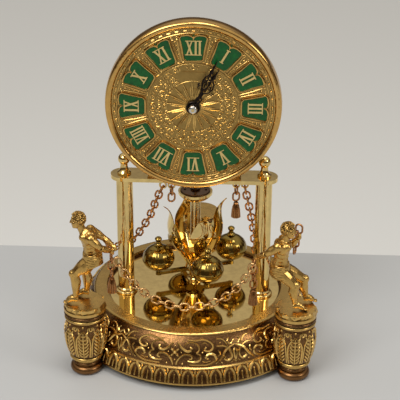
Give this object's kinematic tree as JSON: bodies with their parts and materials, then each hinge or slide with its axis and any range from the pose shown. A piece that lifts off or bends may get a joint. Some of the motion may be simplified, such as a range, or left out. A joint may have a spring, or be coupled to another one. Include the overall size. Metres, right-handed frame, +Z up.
{
  "type": "anniversary clock",
  "caption": "Torsion-pendulum mantel clock: round dial on a pillared platform, slow turning bob pendulum with petal cup, chained figures on pedestals, round cast base.",
  "frame": {"origin": "on the table, under the centre of the round base", "axes": "+Z up, -Y towards the viewer of the dial, +X to the dial's right"},
  "size_m": [0.193, 0.2164, 0.27],
  "materials": {
    "cast_gilt": "gilt brass casting, antiqued in the hollows",
    "polished_brass": "mirror polish, lacquered",
    "orange_gilt": "polished warm gilt",
    "bronze_feet": "dark bronze lacquer",
    "figure_gilt": "satin gilt with antiqued hollows",
    "bob_brass": "polished brass, darkened in the flutes",
    "chain_copper": "coppery plated wire",
    "movement_brass": "grained and lacquered",
    "steel": "polished steel",
    "blued_hand": "black lacquer",
    "green_enamel": "dark green vitreous enamel",
    "regulator_dark": "dark brown lacquer"
  },
  "bodies": {
    "base": {"base_casting": "cast_gilt", "base_plate": "polished_brass", "base_screws": "steel", "pedestal_left": "cast_gilt", "pedestal_right": "cast_gilt", "pedestal_rear": "cast_gilt", "feet": "bronze_feet", "figure_left": "figure_gilt", "figure_right": "figure_gilt", "pillar_left": "polished_brass", "pillar_right": "polished_brass", "pillar_nuts": "steel", "finials": "polished_brass", "platform": "polished_brass", "chain_hooks": "polished_brass", "centre_cup": "polished_brass", "front_plate": "movement_brass", "back_plate": "movement_brass", "plate_posts": "movement_brass", "plate_nuts": "movement_brass", "movement_screws": "steel", "bezel_ring": "orange_gilt", "dial_plate": "cast_gilt", "dial_posts": "movement_brass", "dial_enamel": "green_enamel", "dial_numerals": "polished_brass", "suspension_saddle": "movement_brass", "top_block": "movement_brass", "swag_chain": "chain_copper", "side_chains": "chain_copper", "tassels": "chain_copper"},
    "pendulum": {"pendulum_rod": "movement_brass", "tulip_cup": "polished_brass", "bob_arms": "polished_brass", "bob_1": "bob_brass", "bob_2": "bob_brass", "bob_3": "bob_brass", "bob_4": "bob_brass", "bob_finials": "bob_brass", "crown_cup": "orange_gilt", "suspension_strip": "steel"},
    "regulator": {"regulator_disc": "regulator_dark"},
    "hands": {"centre_wheel": "movement_brass", "cannon_pinion": "steel", "minute_hand": "blued_hand", "hand_nut": "polished_brass"},
    "hour": {"hour_wheel": "movement_brass", "hour_hand": "blued_hand"},
    "motion_work": {"minute_wheel": "movement_brass"},
    "third": {"third_wheel": "movement_brass"},
    "escape": {"escape_wheel": "movement_brass"},
    "intermediate": {"intermediate_wheel": "movement_brass"},
    "second": {"second_wheel": "movement_brass"},
    "mainspring_barrel": {"barrel": "movement_brass", "mainspring": "steel"},
    "winding": {"winding_arbor": "steel", "ratchet_wheel": "steel"},
    "click": {"click": "steel"},
    "anchor": {"anchor": "steel"},
    "fork": {"fork": "movement_brass"}
  },
  "joints": [
    {"name": "pendulum_spin", "type": "hinge", "parent": "base", "child": "pendulum", "pos_m": [0, 0.0137, 0.09], "axis": [0, 0, 1], "range_deg": [-135, 135], "stiffness_Nm_per_rad": 0.000045},
    {"name": "regulator_turn", "type": "hinge", "parent": "pendulum", "child": "regulator", "pos_m": [0, 0.0137, 0.117], "axis": [0, 0, 1], "range_deg": [-170, 170]},
    {"name": "fork_rock", "type": "hinge", "parent": "base", "child": "fork", "pos_m": [0, 0.0137, 0.23701], "axis": [0, 0, 1], "range_deg": [-5.2, 5.2]},
    {"name": "anchor_rock", "type": "hinge", "parent": "base", "child": "anchor", "pos_m": [0, 0, 0.23141], "axis": [0, 1, 0], "range_deg": [-3.6, 3.6]},
    {"name": "hands_turn", "type": "hinge", "parent": "base", "child": "hands", "pos_m": [0, 0, 0.2045], "axis": [0, 1, 0], "continuous": true},
    {"name": "hour_turn", "type": "hinge", "parent": "base", "child": "hour", "pos_m": [0, -0.016, 0.2045], "axis": [0, 1, 0], "continuous": true},
    {"name": "motion_work_turn", "type": "hinge", "parent": "base", "child": "motion_work", "pos_m": [-0.006, -0.014, 0.19411], "axis": [0, 1, 0], "continuous": true},
    {"name": "third_turn", "type": "hinge", "parent": "base", "child": "third", "pos_m": [-0.00771, 0, 0.21369], "axis": [0, 1, 0], "continuous": true},
    {"name": "escape_turn", "type": "hinge", "parent": "base", "child": "escape", "pos_m": [0, 0, 0.21941], "axis": [0, 1, 0], "continuous": true},
    {"name": "intermediate_turn", "type": "hinge", "parent": "base", "child": "intermediate", "pos_m": [0.00749, 0, 0.19054], "axis": [0, 1, 0], "continuous": true},
    {"name": "second_turn", "type": "hinge", "parent": "base", "child": "second", "pos_m": [0.00571, 0, 0.1748], "axis": [0, 1, 0], "continuous": true},
    {"name": "barrel_turn", "type": "hinge", "parent": "base", "child": "mainspring_barrel", "pos_m": [-0.013, 0, 0.164], "axis": [0, 1, 0], "continuous": true},
    {"name": "winding_turn", "type": "hinge", "parent": "base", "child": "winding", "pos_m": [-0.013, 0.009, 0.164], "axis": [0, 1, 0], "range_deg": [0, 2880]},
    {"name": "click_lift", "type": "hinge", "parent": "base", "child": "click", "pos_m": [-0.02524, 0.009, 0.1697], "axis": [0, -1, 0], "range_deg": [0, 14], "stiffness_Nm_per_rad": 0.001, "springref_deg": -8.59}
  ],
  "couplings": [
    {"joint": "fork_rock", "follows": "pendulum_spin", "ratio": 0.036},
    {"joint": "anchor_rock", "follows": "pendulum_spin", "ratio": 0.023786},
    {"joint": "hour_turn", "follows": "hands_turn", "ratio": 0.083333},
    {"joint": "motion_work_turn", "follows": "hands_turn", "ratio": -0.33333},
    {"joint": "third_turn", "follows": "hands_turn", "ratio": -4},
    {"joint": "escape_turn", "follows": "hands_turn", "ratio": 12},
    {"joint": "intermediate_turn", "follows": "hands_turn", "ratio": -0.14286},
    {"joint": "second_turn", "follows": "hands_turn", "ratio": 0.020408},
    {"joint": "barrel_turn", "follows": "hands_turn", "ratio": -0.002551}
  ]
}
